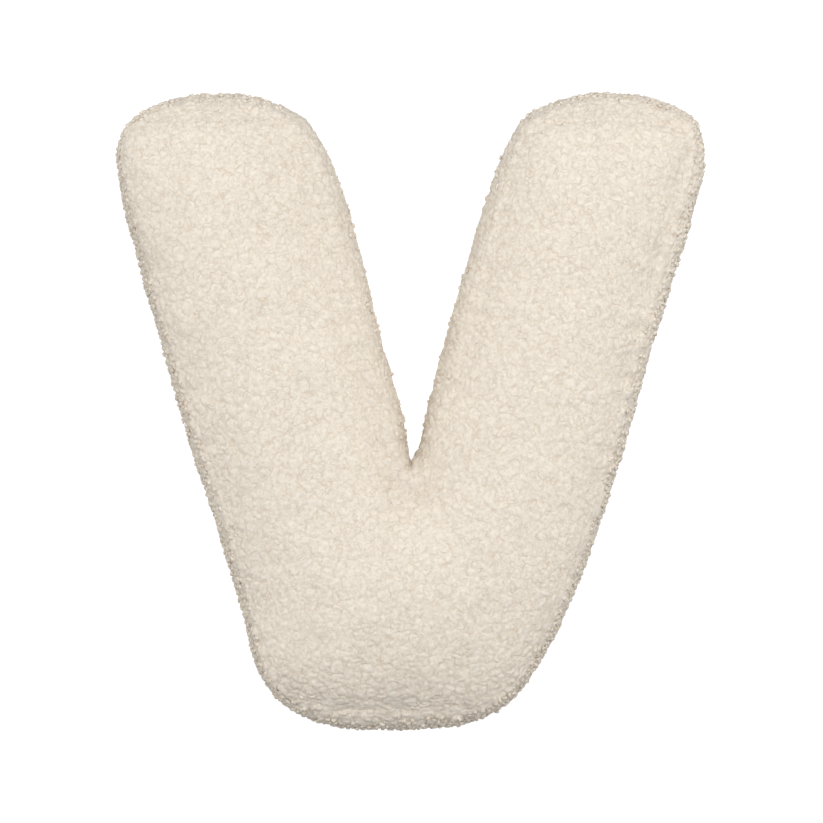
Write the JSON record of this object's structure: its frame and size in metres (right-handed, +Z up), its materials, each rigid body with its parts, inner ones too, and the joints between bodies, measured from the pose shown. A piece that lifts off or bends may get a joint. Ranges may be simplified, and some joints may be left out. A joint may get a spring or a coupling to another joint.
{
  "type": "letter cushion",
  "caption": "Plump filled letter cushion in curly cream teddy fleece, boxed with a side strip all round, lying on its back.",
  "frame": {"origin": "under the middle of the letter's box, on the surface that the cushion lies on", "axes": "+Z up out of the front panel, +Y towards the tops of the letter's arms, +X across the letter to the right arm as it is read"},
  "size_m": [0.4626, 0.5, 0.1102],
  "materials": {
    "teddy_fleece": "short curly teddy pile, matt, warm cream"
  },
  "bodies": {
    "root": {"cushion": "teddy_fleece"}
  },
  "joints": []
}
